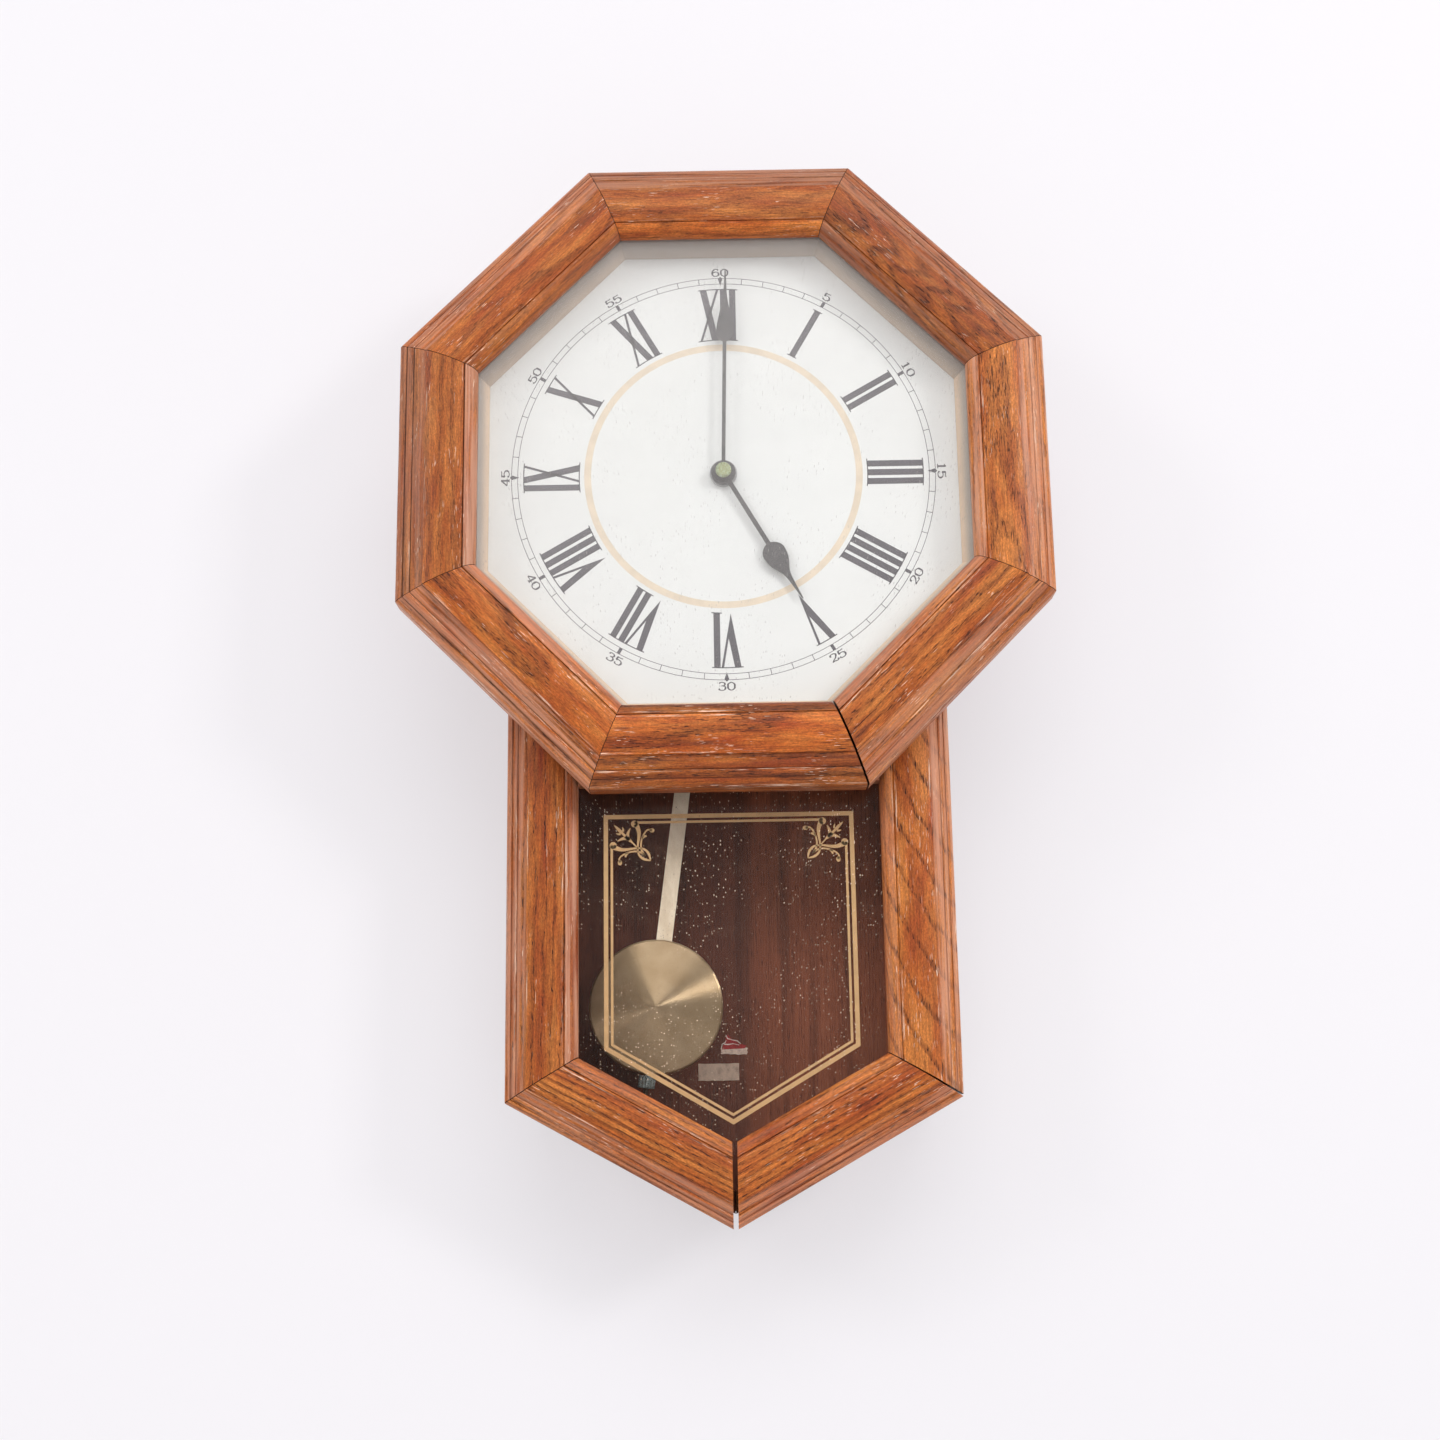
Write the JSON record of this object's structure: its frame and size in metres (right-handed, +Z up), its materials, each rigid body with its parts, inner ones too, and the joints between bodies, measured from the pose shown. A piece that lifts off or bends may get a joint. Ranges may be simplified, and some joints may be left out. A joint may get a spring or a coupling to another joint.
{
  "type": "pendulum wall clock",
  "caption": "Octagonal oak wall clock with a battery chime movement, a white dial with spade hands, and a brass pendulum behind a glazed, pointed lower case.",
  "frame": {"origin": "seat of the wall nail in the hanger plate's keyhole, in the wall plane, on the centre line", "axes": "+Z up, -Y out of the wall towards the viewer, +X to the viewer's right"},
  "size_m": [0.3296, 0.1005, 0.5388],
  "materials": {
    "oak": "stained oak under satin lacquer",
    "case_oak": "dark stained oak boards",
    "back_panel": "dark walnut-faced plywood",
    "hardboard": "raw hardboard",
    "glass": "clear float glass",
    "dial_paint": "satin white enamel",
    "spacer": "cream, matte",
    "hand_paint": "black satin enamel",
    "brass": "machined",
    "champagne_brass": "spun and brushed, clear lacquer",
    "corroded_brass": "tarnished with green corrosion",
    "steel": "zinc plated",
    "black_plastic": "moulded, fine texture",
    "grey_plastic": "moulded, fine texture",
    "nylon": "moulded acetal",
    "circuit": "green solder mask",
    "copper": "enamelled copper winding",
    "cell_coat": "printed foil jacket",
    "dial_ink": "screen-printed ink",
    "gold_print": "screen-printed gold",
    "paper": "aged paper"
  },
  "bodies": {
    "case": {"bezel_top": "oak", "bezel_top_right": "oak", "bezel_right": "oak", "bezel_bottom_right": "oak", "bezel_bottom": "oak", "bezel_bottom_left": "oak", "bezel_left": "oak", "bezel_top_left": "oak", "case_top": "case_oak", "case_top_right": "case_oak", "case_right": "case_oak", "case_bottom_right": "case_oak", "case_bottom_left": "case_oak", "case_left": "case_oak", "case_top_left": "case_oak", "right_stile": "oak", "left_stile": "oak", "right_point_rail": "oak", "left_point_rail": "oak", "lower_top_rail": "oak", "box_right": "case_oak", "box_left": "case_oak", "box_point_right": "case_oak", "box_point_left": "case_oak", "lower_glass": "glass", "dial_glass": "glass", "back_board": "back_panel", "hanger_plate": "steel", "hanger_screw_left": "steel", "hanger_screw_right": "steel", "dial_spacer": "spacer", "dial_plate": "dial_paint", "dial_backing": "hardboard", "centre_bush": "brass", "bush_nut": "brass", "movement_case": "black_plastic", "movement_cover": "black_plastic", "battery_left": "cell_coat", "battery_right": "cell_coat", "speaker": "black_plastic", "circuit_board": "circuit", "drive_coil": "copper", "pendulum_bracket": "steel"},
    "minute_work": {"minute_hand": "hand_paint", "hand_nut": "corroded_brass", "minute_arbor": "steel"},
    "hour_work": {"hour_hand": "hand_paint", "hour_wheel": "nylon"},
    "minute_wheel": {"minute_wheel": "nylon"},
    "setting": {"set_pinion": "nylon", "set_knob": "grey_plastic"},
    "volume": {"volume_dial": "grey_plastic"},
    "selector": {"chime_selector": "grey_plastic"},
    "door": {"battery_door": "grey_plastic"},
    "pendulum": {"pendulum_arm": "nylon", "pendulum_rod": "champagne_brass", "bob_face": "champagne_brass", "bob_back": "brass", "rating_nut": "corroded_brass"}
  },
  "joints": [
    {"name": "minute_turn", "type": "hinge", "parent": "case", "child": "minute_work", "pos_m": [0, -0.07, -0.119], "axis": [0, 1, 0], "continuous": true},
    {"name": "hour_turn", "type": "hinge", "parent": "case", "child": "hour_work", "pos_m": [0, -0.07, -0.119], "axis": [0, 1, 0], "continuous": true},
    {"name": "wheel_turn", "type": "hinge", "parent": "case", "child": "minute_wheel", "pos_m": [0.01039, -0.067, -0.125], "axis": [0, 1, 0], "continuous": true},
    {"name": "set_turn", "type": "hinge", "parent": "case", "child": "setting", "pos_m": [0.02198, -0.05, -0.12811], "axis": [0, 1, 0], "continuous": true},
    {"name": "pendulum_swing", "type": "hinge", "parent": "case", "child": "pendulum", "pos_m": [0, -0.033, -0.094], "axis": [0, -1, 0], "range_deg": [-1.5, 16.5]},
    {"name": "volume_turn", "type": "hinge", "parent": "case", "child": "volume", "pos_m": [0.044, -0.036, -0.152], "axis": [0, -1, 0], "range_deg": [0, 270]},
    {"name": "chime_select", "type": "slide", "parent": "case", "child": "selector", "axis": [1, 0, 0], "range_m": [0, 0.01]},
    {"name": "door_off", "type": "slide", "parent": "case", "child": "door", "axis": [0, 1, 0], "range_m": [0, 0.04]}
  ],
  "couplings": [
    {"joint": "hour_turn", "follows": "minute_turn", "ratio": 0.083333},
    {"joint": "wheel_turn", "follows": "minute_turn", "ratio": -0.33333},
    {"joint": "set_turn", "follows": "minute_turn", "ratio": 1}
  ]
}
